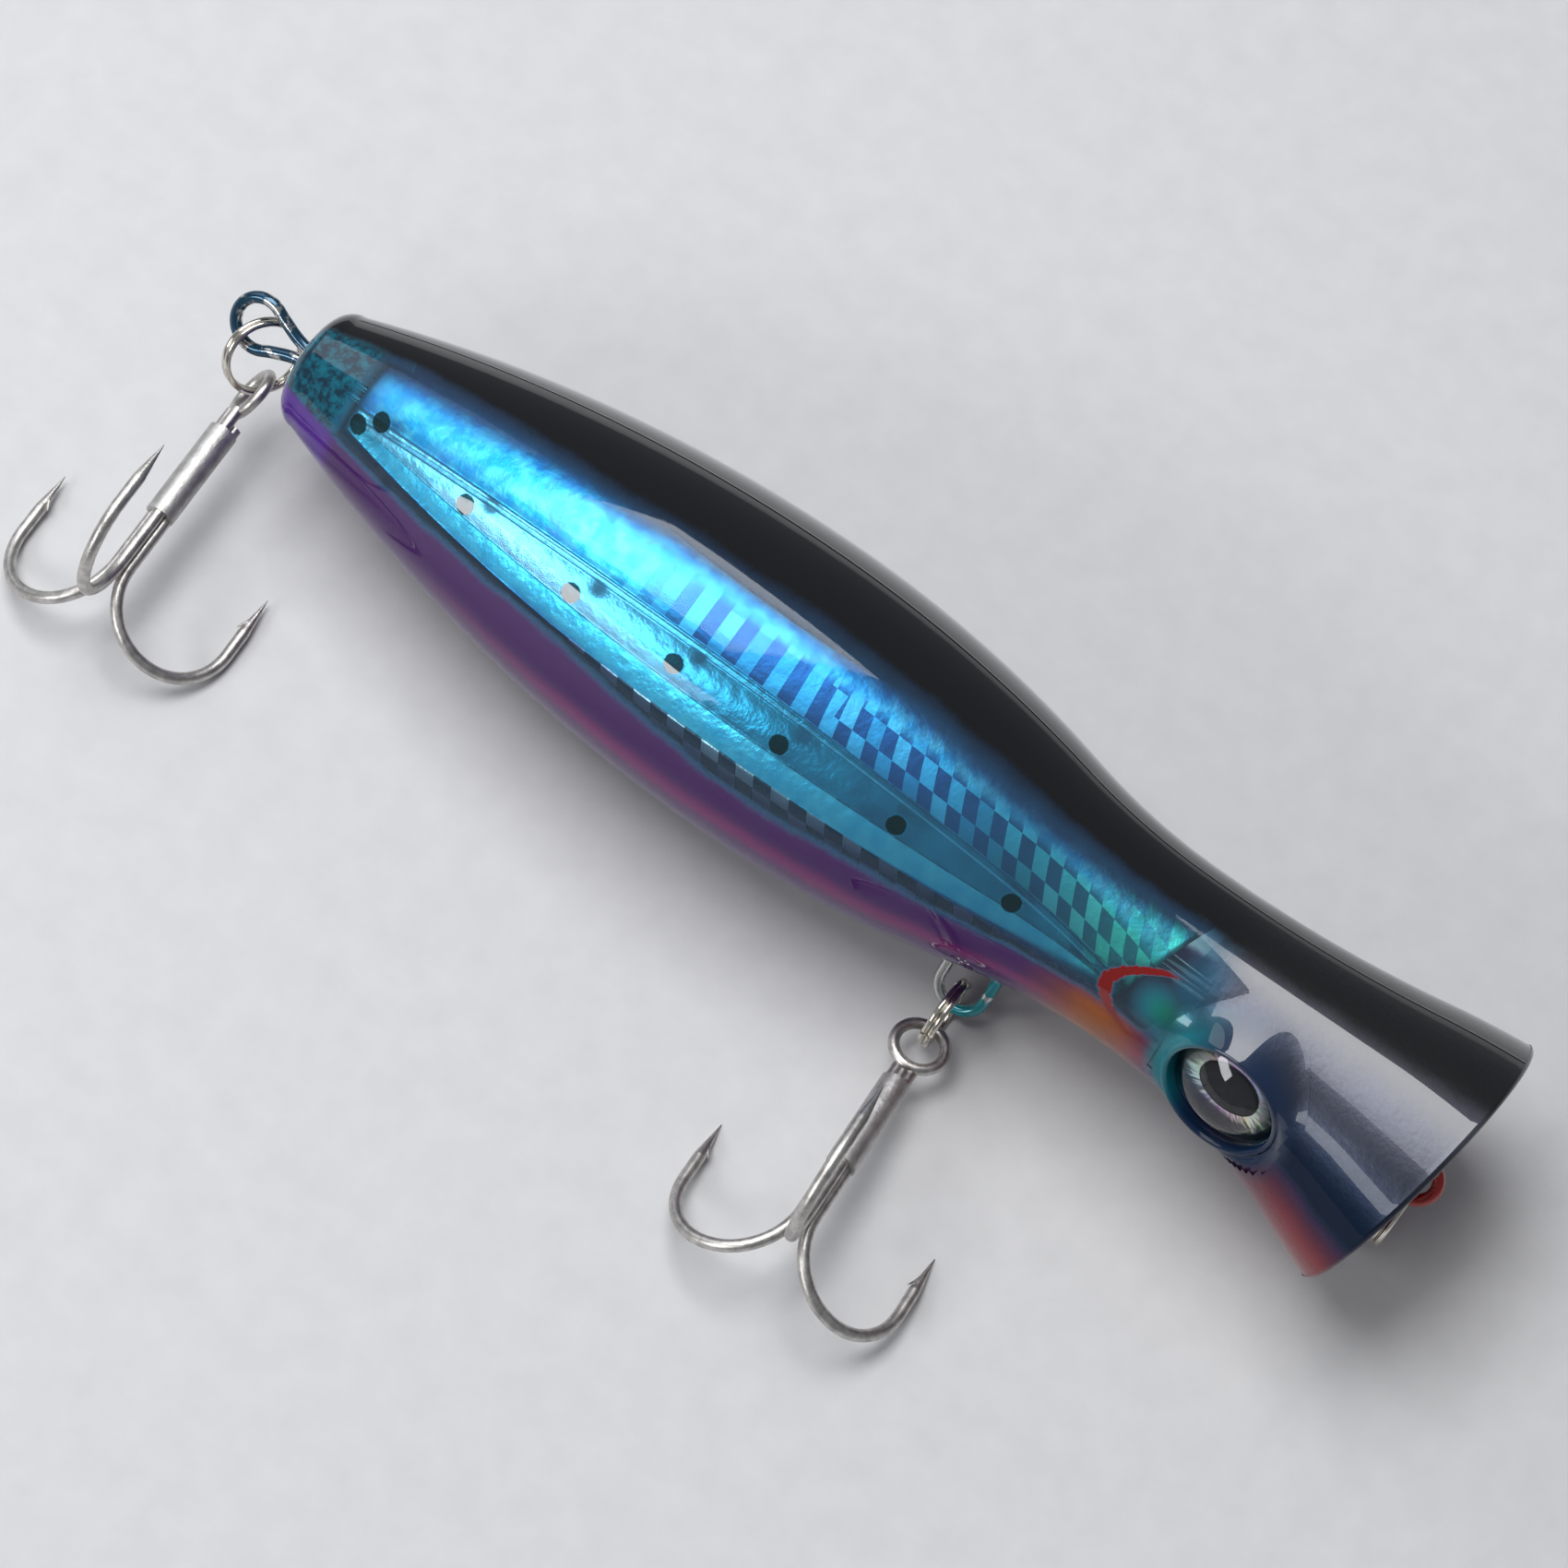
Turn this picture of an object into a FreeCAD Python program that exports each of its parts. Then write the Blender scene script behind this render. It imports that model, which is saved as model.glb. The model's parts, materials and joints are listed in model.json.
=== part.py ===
import FreeCAD, Part
import math
import os
from FreeCAD import Placement, Rotation, Vector

# Topwater popper, millimetres.
# The lure frame runs from the tail end of the body (x = 0) to the nose (+x), with the back at +z and
# the left side at +y. The lying frame is the finished one: the lure rolled onto its left side with
# its trebles laid out beside the belly, +z up, and the origin at the bottom centre of its box.

os.makedirs("parts", exist_ok=True)
doc = FreeCAD.newDocument("topwater_popper")
sheet = doc.addObject("Spreadsheet::Sheet", "dimensions")

DIMENSIONS = {
    "body_length": 125.0,
    "girth_radius": 14.7,
    "girth_at": 53.0,
    "tail_arc": 156.0,
    "crown_arc": 117.0,
    "neck_radius": 9.4,
    "neck_at": 96.0,
    "throat_arc": 78.0,
    "mouth_drop": 2.1,
    "mouth_slant": 11.0,
    "mouth_radius": 14.4,
    "tail_rounding": 2.2,
    "wall": 1.6,
    "cavity_start": 6.5,
    "cavity_end": 99.5,
    "cup_radius": 13.9,
    "cup_ahead": 4.4,
    "foil_gap": 0.15,
    "foil_thickness": 0.35,
    "foil_start": 7.6,
    "foil_end": 97.0,
    "foil_low": -4.6,
    "foil_high": 10.4,
    "eye_at": 108.6,
    "eye_level": 0.8,
    "eye_droop": 24.0,
    "eye_turn": 6.0,
    "eye_radius": 5.4,
    "eye_seat": 8.3,
    "socket_radius": 6.2,
    "socket_reach": 10.5,
    "eye_clearance": 0.08,
    "iris_thickness": 0.3,
    "pupil_radius": 3.0,
    "pupil_thickness": 0.15,
    "dome_height": 2.7,
    "wire_radius": 0.6,
    "leg_offset": 0.66,
    "wire_clearance": 0.06,
    "nose_loop_at": 125.6,
    "nose_loop_drop": 3.6,
    "nose_loop_radius": 2.1,
    "tail_loop_at": -6.1,
    "tail_loop_radius": 2.5,
    "hanger_wire_radius": 0.55,
    "hanger_front": 84.8,
    "hanger_rear": 80.0,
    "hanger_depth": 16.8,
    "hanger_root": 4.6,
    "hanger_foot": 4.5,
    "tail_weight_at": 11.0,
    "tail_weight_length": 9.0,
    "tail_weight_radius": 2.6,
    "belly_weight_at": 52.0,
    "belly_weight_length": 18.0,
    "belly_weight_radius": 3.2,
    "belly_weight_drop": 8.6,
    "ring_wire_radius": 0.32,
    "ring_turn_offset": 0.3,
    "nose_ring_radius": 3.3,
    "belly_ring_radius": 3.3,
    "tail_ring_radius": 3.7,
    "hook_wire_radius": 0.6,
    "hook_spacing": 0.75,
    "hook_eye_radius": 2.45,
    "hook_eye_wire": 0.55,
    "shank_length": 21.0,
    "bend_radius": 6.2,
    "point_straight": 2.7,
    "point_length": 4.0,
    "barb_length": 1.7,
    "barb_radius": 0.3,
    "braze_radius": 1.45,
    "braze_start": 4.8,
    "braze_length": 10.5,
    "roll": 38.0,
    "pitch": 1.0,
}

for row, (alias, number) in enumerate(DIMENSIONS.items(), start=1):
    sheet.set(f"A{row}", alias)
    sheet.set(f"B{row}", str(number))
    sheet.setAlias(f"B{row}", alias)
doc.recompute()


def size(alias):
    return float(sheet.get(alias))


def bind(feature, **expressions):
    for name, expression in expressions.items():
        feature.setExpression(name, expression)
    return feature


def place(feature, position, rotation=Rotation()):
    feature.Placement = Placement(position, rotation)
    return feature


def boolean(kind, label, base, tool):
    feature = doc.addObject(kind, label)
    feature.Base = base
    feature.Tool = tool
    return feature


def union(label, shapes):
    feature = doc.addObject("Part::MultiFuse", label)
    feature.Shapes = shapes
    return feature


def box(label, corner, length, width, height):
    feature = doc.addObject("Part::Box", label)
    feature.Length, feature.Width, feature.Height = length, width, height
    return place(feature, corner)


def cylinder(label, position, direction, radius, height):
    feature = doc.addObject("Part::Cylinder", label)
    bind(feature, Radius=radius, Height=height)
    return place(feature, position, Rotation(Vector(0, 0, 1), direction))


# Body outline: a long arc from tail to girth, a crown arc over the girth, and two arcs round the neck.

def hull_radius(x):
    girth, neck = size("girth_radius"), size("neck_radius")
    if x <= size("girth_at"):
        arc = size("tail_arc")
        return girth - arc + math.sqrt(arc ** 2 - (x - size("girth_at")) ** 2)
    run = size("neck_at") - size("girth_at")
    arc = size("crown_arc")
    step = girth - neck
    neck_arc = (run ** 2 + step ** 2) / (2 * step) - arc
    join = size("girth_at") + run * arc / (arc + neck_arc)
    if x <= join:
        return girth - arc + math.sqrt(arc ** 2 - (x - size("girth_at")) ** 2)
    if x > size("neck_at"):
        neck_arc = size("throat_arc")
    return neck + neck_arc - math.sqrt(neck_arc ** 2 - (x - size("neck_at")) ** 2)


def flare(x):
    """0 at the neck, 1 at the mouth."""
    along = (x - size("neck_at")) / (size("body_length") - size("neck_at"))
    return max(0.0, along) ** 1.6


def station(label, x, shrink):
    """A cross-section of the body, square to its centre line."""
    circle = doc.addObject("Part::Circle", label)
    at_mouth = x >= size("body_length")
    circle.Radius = (size("mouth_radius") if at_mouth else hull_radius(x)) - shrink
    turn = Rotation(Vector(0, 1, 0), 90 + size("mouth_slant") * flare(x))
    return place(circle, Vector(x, 0, -size("mouth_drop") * flare(x)), turn)


def hull_loft(label, start, end, spacing, shrink):
    count = max(2, round((end - start) / spacing))
    places = [start + (end - start) * step / count for step in range(count + 1)]
    loft = doc.addObject("Part::Loft", label)
    loft.Sections = [station(f"{label}_{i}", x, shrink) for i, x in enumerate(places)]
    loft.Solid = True
    return loft


outer = hull_loft("hull_outer", 0, size("body_length"), 7, 0)
cavity = hull_loft("hull_cavity", size("cavity_start"), size("cavity_end"), 8, size("wall"))
doc.recompute()

tail_edges = [
    number + 1
    for number, edge in enumerate(outer.Shape.Edges)
    if edge.BoundBox.XMax < 1 and edge.Closed
]
rounded = doc.addObject("Part::Fillet", "hull_rounded")
rounded.Base = outer
rounded.Edges = [(number, size("tail_rounding"), size("tail_rounding")) for number in tail_edges]

# Eye sockets: a raised round boss on each side with a flat-bottomed seat, facing a little down and back.
droop = math.radians(size("eye_droop"))
turn = math.radians(size("eye_turn"))
eye_root = Vector(size("eye_at"), 0, size("eye_level"))
looks = {
    side: Vector(
        -math.sin(turn), sign * math.cos(turn) * math.cos(droop), -math.cos(turn) * math.sin(droop))
    for side, sign in (("left", 1), ("right", -1))
}
socket_bosses = []
socket_seats = []
for side, direction in looks.items():
    socket_bosses.append(cylinder(
        f"socket_boss_{side}", eye_root, direction,
        "dimensions.socket_radius", "dimensions.socket_reach"))
    socket_seats.append(cylinder(
        f"socket_seat_{side}", eye_root + direction * size("eye_seat"), direction,
        "dimensions.eye_radius + dimensions.eye_clearance", "dimensions.socket_reach"))
doc.recompute()
hull = union("hull_with_bosses", [rounded] + socket_bosses)

# Mouth cup: a round bowl ahead of the slanted rim.
slant = math.radians(size("mouth_slant"))
rim_normal = Vector(math.cos(slant), 0, -math.sin(slant))
rim_centre = Vector(size("body_length"), 0, -size("mouth_drop"))
cup = bind(doc.addObject("Part::Sphere", "mouth_cup"), Radius="dimensions.cup_radius")
place(cup, rim_centre + rim_normal * size("cup_ahead"))

# Slots for the through-wire at both ends, and holes for the two legs of the belly hanger.
nose_z = -size("nose_loop_drop")
slot = size("wire_radius") + size("wire_clearance")
slot_height = size("leg_offset") + slot
nose_slot = box(
    "nose_slot", Vector(size("cavity_end") - 1, -slot, nose_z - slot_height),
    size("body_length") - size("cavity_end"), 2 * slot, 2 * slot_height + 1.2)
tail_slot = box(
    "tail_slot", Vector(-2, -slot, -slot_height), size("cavity_start") + 3, 2 * slot, 2 * slot_height)
hanger_holes = [
    cylinder(
        f"hanger_hole_{name}", Vector(size(f"hanger_{name}"), 0, -3), Vector(0, 0, -1),
        "dimensions.hanger_wire_radius + dimensions.wire_clearance", "dimensions.hanger_depth")
    for name in ("front", "rear")
]

removed = union("body_hollows", [cavity, cup, nose_slot, tail_slot] + hanger_holes + socket_seats)
whole_body = boolean("Part::Cut", "whole_body", hull, removed)

reach = 20
SIDES = {"left": 1, "right": -1}
half_spaces = {
    side: box(
        f"half_space_{side}", Vector(-5, 0 if sign > 0 else -reach, -reach),
        size("body_length") + 12, reach, 2 * reach)
    for side, sign in SIDES.items()
}
lure_nodes = [
    boolean("Part::Common", f"body_shell_{side}", whole_body, half_spaces[side]) for side in SIDES
]

# Foil inserts: a thin reflector inside each wall, from under the back to below the midline.
foil_ends = (size("cavity_start") + 0.5, size("cavity_end") - 0.5)
foil_shrink = size("wall") + size("foil_gap")
foil_outer = hull_loft("foil_outer", *foil_ends, 8, foil_shrink)
foil_inner = hull_loft("foil_inner", *foil_ends, 8, foil_shrink + size("foil_thickness"))
foil_ring = boolean("Part::Cut", "foil_ring", foil_outer, foil_inner)
for side, sign in SIDES.items():
    window = box(
        f"foil_window_{side}",
        Vector(size("foil_start"), 1.5 if sign > 0 else -reach, size("foil_low")),
        size("foil_end") - size("foil_start"), reach - 1.5, size("foil_high") - size("foil_low"))
    lure_nodes.append(boolean("Part::Common", f"foil_insert_{side}", foil_ring, window))


# Bent wire: straight runs joined by tangent arcs, swept with a round section.

def rounded_path(corners, radii):
    edges = []
    start = corners[0]
    for before, corner, after, radius in zip(corners, corners[1:], corners[2:], radii):
        inward = (before - corner).normalize()
        outward = (after - corner).normalize()
        half_turn = inward.getAngle(outward) / 2
        if math.pi / 2 - half_turn < 1e-4:
            continue
        setback = radius / math.tan(half_turn)
        first, last = corner + inward * setback, corner + outward * setback
        bisector = (inward + outward).normalize()
        middle = corner + bisector * (radius / math.sin(half_turn) - radius)
        edges.append(Part.LineSegment(start, first).toShape())
        edges.append(Part.Arc(first, middle, last).toShape())
        start = last
    edges.append(Part.LineSegment(start, corners[-1]).toShape())
    return Part.Wire(edges)


def swept_wire(label, path, radius):
    """A wire of the named radius along the path."""
    spine = doc.addObject("Part::Feature", f"{label}_spine")
    spine.Shape = path
    section = bind(doc.addObject("Part::Circle", f"{label}_section"), Radius=radius)
    first = path.OrderedEdges[0]
    tangent = first.tangentAt(first.FirstParameter)
    place(section, path.OrderedVertexes[0].Point, Rotation(Vector(0, 0, 1), tangent))
    sweep = doc.addObject("Part::Sweep", label)
    sweep.Sections = [section]
    sweep.Spine = (spine, [f"Edge{number + 1}" for number in range(len(path.Edges))])
    sweep.Solid = True
    sweep.Frenet = False
    sweep.Transition = 1
    return sweep


def loop_corners(centre, radius, outward):
    """Square corners round a loop, entered from the low leg and left on the high one."""
    far = centre + Vector(outward * radius, 0, 0)
    near = centre - Vector(outward * radius, 0, 0)
    up = Vector(0, 0, radius)
    return near - up, far - up, far + up, near + up


leg = Vector(0, 0, size("leg_offset"))
nose_centre = Vector(size("nose_loop_at"), 0, nose_z)
tail_centre = Vector(size("tail_loop_at"), 0, 0)
nose_root = nose_centre - Vector(6.2, 0, 0)
tail_root = tail_centre + Vector(5.7, 0, 0)
nose_loop = loop_corners(nose_centre, size("nose_loop_radius"), 1)
tail_loop = loop_corners(tail_centre, size("tail_loop_radius"), -1)
bend = 1.4
wire_corners = [nose_root - leg - Vector(9, 0, 0), nose_root - leg, *nose_loop, nose_root + leg,
                tail_root + leg, *tail_loop[::-1], tail_root - leg, tail_root - leg + Vector(9, 0, 0)]
nose_turn = size("nose_loop_radius") * 0.97
tail_turn = size("tail_loop_radius") * 0.97
wire_radii = ([bend, bend, nose_turn, nose_turn, bend, bend]
              + [bend, bend, tail_turn, tail_turn, bend, bend])
lure_nodes.append(swept_wire(
    "through_wire", rounded_path(wire_corners, wire_radii), "dimensions.wire_radius"))

# Belly hanger: a U of wire whose two feet lie along the body under the through-wire.
front, rear = size("hanger_front"), size("hanger_rear")
foot = size("hanger_foot")
root, depth = -size("hanger_root"), -size("hanger_depth")
hanger_corners = [
    Vector(front + foot, 0, root), Vector(front, 0, root), Vector(front, 0, depth),
    Vector(rear, 0, depth), Vector(rear, 0, root), Vector(rear - foot, 0, root),
]
hanger_turn = (front - rear) / 2 * 0.96
lure_nodes.append(swept_wire(
    "belly_hanger", rounded_path(hanger_corners, [bend, hanger_turn, hanger_turn, bend]),
    "dimensions.hanger_wire_radius"))

# Eyes: a foil iris, a black pupil on it, and a clear dome over both.
gap = 0.02
for side, direction in looks.items():
    seat = eye_root + direction * (size("eye_seat") + gap)
    lure_nodes.append(cylinder(
        f"eye_iris_{side}", seat, direction, "dimensions.eye_radius", "dimensions.iris_thickness"))
    seat = seat + direction * (size("iris_thickness") + gap)
    lure_nodes.append(cylinder(
        f"eye_pupil_{side}", seat, direction, "dimensions.pupil_radius", "dimensions.pupil_thickness"))
    seat = seat + direction * (size("pupil_thickness") + gap)
    dome_radius = (size("eye_radius") ** 2 + size("dome_height") ** 2) / (2 * size("dome_height"))
    dome_ball = doc.addObject("Part::Sphere", f"dome_ball_{side}")
    dome_ball.Radius = dome_radius
    place(dome_ball, seat + direction * (size("dome_height") - dome_radius))
    dome_stock = cylinder(
        f"dome_stock_{side}", seat, direction, "dimensions.eye_radius", "dimensions.dome_height")
    lure_nodes.append(boolean("Part::Common", f"eye_dome_{side}", dome_ball, dome_stock))

# Ballast: a rod in the tail and a rod along the belly.
along = Vector(1, 0, 0)
lure_nodes.append(cylinder(
    "tail_ballast", Vector(size("tail_weight_at"), 0, -4.4), along,
    "dimensions.tail_weight_radius", "dimensions.tail_weight_length"))
lure_nodes.append(cylinder(
    "belly_ballast", Vector(size("belly_weight_at"), 0, -size("belly_weight_drop")), along,
    "dimensions.belly_weight_radius", "dimensions.belly_weight_length"))


def split_ring(label, radius):
    """Two turns of wire side by side, about the origin with its axis on z."""
    turns = []
    for name, sign in (("upper", 1), ("lower", -1)):
        turn = doc.addObject("Part::Torus", f"{label}_{name}_turn")
        bind(turn, Radius1=radius, Radius2="dimensions.ring_wire_radius")
        turns.append(place(turn, Vector(0, 0, sign * size("ring_turn_offset"))))
    return boolean("Part::Fuse", label, *turns)


def hook(label, angle, start):
    """One hook of a treble: shank along +x, bend, point and barb, turned about x by the angle."""
    turn = Rotation(Vector(1, 0, 0), angle)
    near, far = size("hook_spacing"), size("hook_spacing") + 2 * size("bend_radius")
    end = size("shank_length")
    bottom = end + size("bend_radius")
    straight = end - size("point_straight")
    corners = [
        turn.multVec(Vector(x, 0, z)) for x, z in
        ((start, near), (bottom, near), (bottom, far), (straight, far))
    ]
    arc = size("bend_radius") * 0.985
    wire = swept_wire(f"{label}_wire", rounded_path(corners, [arc, arc]), "dimensions.hook_wire_radius")
    point = doc.addObject("Part::Cone", f"{label}_point")
    bind(point, Radius1="dimensions.hook_wire_radius", Height="dimensions.point_length")
    point.Radius2 = 0.04
    back = turn.multVec(Vector(-1, 0, 0))
    place(point, turn.multVec(Vector(straight, 0, far)), Rotation(Vector(0, 0, 1), back))
    barb = doc.addObject("Part::Cone", f"{label}_barb")
    bind(barb, Radius1="dimensions.barb_radius", Height="dimensions.barb_length")
    barb.Radius2 = 0.03
    barb_root = turn.multVec(Vector(straight - 1.4, 0, far - 0.1))
    lean = turn.multVec(Vector(0.87, 0, -0.5))
    place(barb, barb_root, Rotation(Vector(0, 0, 1), lean))
    return [wire, point, barb]


def treble(name):
    """The three pieces of a treble hook, with the eye at the origin and the shank along +x."""
    eye = doc.addObject("Part::Torus", f"{name}_eye")
    bind(eye, Radius1="dimensions.hook_eye_radius", Radius2="dimensions.hook_eye_wire")
    inside = size("hook_eye_radius") - 0.1
    double = union(
        f"{name}_treble_double_hook",
        [eye] + hook(f"{name}_first", 120, inside) + hook(f"{name}_second", 240, inside))
    clear = size("hook_eye_radius") + size("hook_eye_wire") + 0.8
    single = union(f"{name}_treble_single_hook", hook(f"{name}_third", 0, clear))
    sleeve = cylinder(
        f"{name}_sleeve", Vector(size("braze_start"), 0, 0), Vector(1, 0, 0),
        "dimensions.braze_radius", "dimensions.braze_length")
    bores = []
    for number, angle in enumerate((0, 120, 240)):
        turned = Rotation(Vector(1, 0, 0), angle).multVec(Vector(0, 0, size("hook_spacing")))
        bores.append(cylinder(
            f"{name}_bore_{number}", Vector(1, 0, 0) + turned, Vector(1, 0, 0),
            "dimensions.hook_wire_radius + 0.01", "dimensions.shank_length"))
    bores.append(cylinder(
        f"{name}_core", Vector(1, 0, 0), Vector(1, 0, 0),
        "dimensions.hook_spacing / 2", "dimensions.shank_length"))
    braze = boolean("Part::Cut", f"{name}_treble_braze", sleeve, union(f"{name}_bores", bores))
    return [double, single, braze]


# The lying pose: rolled about x, pitched until belly and rim both touch, and lifted onto the ground.
lying = Rotation(Vector(0, 1, 0), -size("pitch")).multiply(Rotation(Vector(1, 0, 0), -size("roll")))
lift = Vector(0, 0, size("girth_radius") - size("girth_at") * math.sin(math.radians(size("pitch"))))


def in_lying_frame(point):
    return lying.multVec(point) + lift


for node in lure_nodes:
    own = node.Placement
    node.Placement = Placement(lift, lying).multiply(own)

down = lying.multVec(Vector(0, 0, -1))
forward = lying.multVec(Vector(1, 0, 0))
rightward = lying.multVec(Vector(0, -1, 0))


def ring_placement(top, hang, axis, radius):
    """A ring whose highest turn passes through the point top and which hangs along hang."""
    side = axis.cross(hang).normalize()
    square_axis = hang.cross(side).normalize()
    return Placement(top + hang * radius, Rotation(side, hang, square_axis, "ZXY"))


# Nose ring: hangs from the lower run of the nose loop, square to the body.
nose_ring = split_ring("nose_split_ring", "dimensions.nose_ring_radius")
nose_top = in_lying_frame(nose_centre + Vector(0.2, 0, -0.55))
nose_ring.Placement = ring_placement(nose_top, down, forward, size("nose_ring_radius"))

# Belly ring: stands on the ground, square to the body, with the hanger inside it.
belly_ring = split_ring("belly_split_ring", "dimensions.belly_ring_radius")
hanger_bottom = in_lying_frame(Vector((front + rear) / 2, 0, depth))
ring_rest = size("belly_ring_radius") + size("ring_wire_radius") + 0.05
rise = ring_rest - hanger_bottom.z
inside = size("belly_ring_radius") - size("ring_wire_radius") - size("hanger_wire_radius") - 0.12
belly_ring_centre = hanger_bottom + Vector(0, -math.sqrt(inside ** 2 - rise ** 2), rise)
belly_ring.Placement = Placement(belly_ring_centre, Rotation(Vector(0, 0, 1), Vector(1, 0, 0)))

# Tail ring: hangs from the tail loop, turned to show its face.
tail_ring = split_ring("tail_split_ring", "dimensions.tail_ring_radius")
tail_top = in_lying_frame(tail_centre + Vector(-0.2, -0.4, -0.15))
face = math.radians(34)
tail_axis = forward * math.cos(face) + rightward * math.sin(face)
tail_hang = Vector(0.42, -0.2, -0.88).normalize()
tail_ring.Placement = ring_placement(tail_top, tail_hang, tail_axis, size("tail_ring_radius"))


def treble_placement(eye_centre, shank, up):
    across = up.cross(shank).normalize()
    return Placement(eye_centre, Rotation(shank, across, shank.cross(across), "XYZ"))


# Belly treble: two hooks on the ground, the third up, its eye round the far side of the ring.
belly_treble = treble("belly")
tilt = math.radians(12.7)
swing = math.radians(4)
belly_shank = Vector(math.sin(swing), -math.cos(swing) * math.cos(tilt), math.sin(tilt))
meet = math.radians(10)
strand = Vector(0, -math.cos(meet), -math.sin(meet)) * size("belly_ring_radius")
belly_eye = belly_ring_centre + strand + belly_shank * 0.75
for piece in belly_treble:
    piece.Placement = treble_placement(belly_eye, belly_shank, Vector(0, 0, 1))

# Tail treble: its eye stands on edge in the ring, with the same three hooks turned a third round.
tail_treble = treble("tail")
tail_shank = Vector(0.08, -1, -0.01).normalize()
ring_side = tail_axis.cross(tail_hang).normalize()
meet = math.radians(25)
outward = tail_hang * math.cos(meet) - ring_side * math.sin(meet)
tail_strand = tail_top + (tail_hang + outward) * size("tail_ring_radius")
tail_tangent = tail_hang * math.sin(meet) + ring_side * math.cos(meet)
tail_eye = tail_strand + tail_shank * 0.5
third = Rotation(Vector(1, 0, 0), -120)
for piece in tail_treble:
    turned = treble_placement(tail_eye, tail_shank, Vector(0, 0, 1))
    piece.Placement = turned.multiply(Placement(Vector(), third))

doc.recompute()

nodes = lure_nodes + [nose_ring, belly_ring, tail_ring] + belly_treble + tail_treble
for feature in doc.Objects:
    state = set(feature.State) & {"Invalid", "Error"}
    assert not state, (feature.Name, feature.State)

bounds = FreeCAD.BoundBox()
for node in nodes:
    points, _ = node.Shape.tessellate(0.01)
    for point in points:
        bounds.add(point)
centring = Vector(-bounds.Center.x, -bounds.Center.y, -bounds.ZMin)
for node in nodes:
    own = node.Placement
    node.Placement = Placement(own.Base + centring, own.Rotation)
doc.recompute()

for node in nodes:
    shape = node.Shape
    assert not shape.isNull() and shape.isValid(), node.Label
    assert len(shape.Solids) == 1, (node.Label, len(shape.Solids))
    shape.exportStep(f"parts/{node.Label}.step")
    print(node.Label, round(shape.Volume, 2))

POINTS = {
    "nose_loop": in_lying_frame(nose_centre),
    "nose_ring_pivot": in_lying_frame(nose_centre - Vector(0, 0, size("nose_loop_radius"))),
    "hanger_bottom": hanger_bottom,
    "belly_ring_centre": belly_ring_centre,
    "belly_ring_strand": belly_ring_centre + strand,
    "tail_loop": in_lying_frame(tail_centre),
    "tail_ring_pivot": in_lying_frame(tail_centre - Vector(0, 0, size("tail_loop_radius"))),
    "tail_ring_strand": tail_strand,
    "belly_eye": belly_eye,
    "tail_eye": tail_eye,
    "mouth_rim": in_lying_frame(rim_centre),
    "cup_bottom": in_lying_frame(
        rim_centre + rim_normal * (size("cup_ahead") - size("cup_radius"))),
}
for name, point in POINTS.items():
    shifted = point + centring
    print(name, round(shifted.x, 3), round(shifted.y, 3), round(shifted.z, 3))
for name, direction in (("forward", forward), ("down", down), ("rightward", rightward),
                        ("tail_axis", tail_axis), ("belly_shank", belly_shank),
                        ("tail_tangent", tail_tangent), ("tail_shank", tail_shank)):
    print(name, round(direction.x, 4), round(direction.y, 4), round(direction.z, 4))
print("box", bounds)
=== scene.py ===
import json
import math

import bpy
import numpy as np
from mathutils import Matrix, Vector


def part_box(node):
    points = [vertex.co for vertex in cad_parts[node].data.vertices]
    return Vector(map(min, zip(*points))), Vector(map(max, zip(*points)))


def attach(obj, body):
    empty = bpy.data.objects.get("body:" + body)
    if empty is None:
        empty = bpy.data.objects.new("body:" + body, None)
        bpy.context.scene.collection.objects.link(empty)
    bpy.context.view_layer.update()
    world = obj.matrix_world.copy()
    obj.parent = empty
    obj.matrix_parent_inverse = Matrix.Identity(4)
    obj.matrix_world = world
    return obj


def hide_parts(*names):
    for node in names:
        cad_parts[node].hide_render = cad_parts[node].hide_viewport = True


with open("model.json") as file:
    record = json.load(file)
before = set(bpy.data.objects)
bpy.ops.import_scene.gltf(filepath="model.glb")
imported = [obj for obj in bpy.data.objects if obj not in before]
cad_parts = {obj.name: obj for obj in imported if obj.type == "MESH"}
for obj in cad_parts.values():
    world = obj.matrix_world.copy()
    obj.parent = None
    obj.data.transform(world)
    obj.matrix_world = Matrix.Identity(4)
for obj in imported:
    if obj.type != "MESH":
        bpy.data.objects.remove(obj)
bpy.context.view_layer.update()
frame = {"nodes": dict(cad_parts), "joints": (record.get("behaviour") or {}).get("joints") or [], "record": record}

# The lure's own frame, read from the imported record: x from tail to nose, y to the left side, z to the
# back. Sizes of the lure are in millimetres in that frame, and LURE turns them into the row frame.
MM = 0.001
TAIL_LOOP_X = -6.1
joints = {joint["name"]: joint for joint in frame["joints"]}
mounts = {mount["name"]: mount for mount in frame["record"]["mounts"]}
forward = Vector(joints["nose_ring_swing"]["axis"]).normalized()
left = -Vector(mounts["nose_line_tie"]["axis"]).normalized()
dorsal = forward.cross(left)
tail_end = Vector(mounts["tail_hook_eye"]["pos_m"]) - forward * TAIL_LOOP_X * MM
LURE = np.array([forward * MM, left * MM, dorsal * MM])

BODY_LENGTH = 125.0
GIRTH_RADIUS, GIRTH_AT = 14.7, 53.0
NECK_RADIUS, NECK_AT = 9.4, 96.0
TAIL_ARC, CROWN_ARC, THROAT_ARC = 156.0, 117.0, 78.0
MOUTH_DROP, MOUTH_SLANT, MOUTH_RADIUS = 2.1, math.radians(11), 14.4
CUP_RADIUS, CUP_AHEAD = 13.9, 4.4
TAIL_ROUNDING = 2.2
WALL = 1.6
EYE_ROOT = np.array([108.6, 0.0, 0.8])
EYE_DROOP, EYE_TURN = math.radians(24), math.radians(6)
EYE_RADIUS, EYE_SEAT = 5.4, 8.3
SOCKET_RADIUS, SOCKET_REACH, SOCKET_BLEND = 6.2, 10.5, 8.8
SIDES = {"right": -1, "left": 1}
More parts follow.
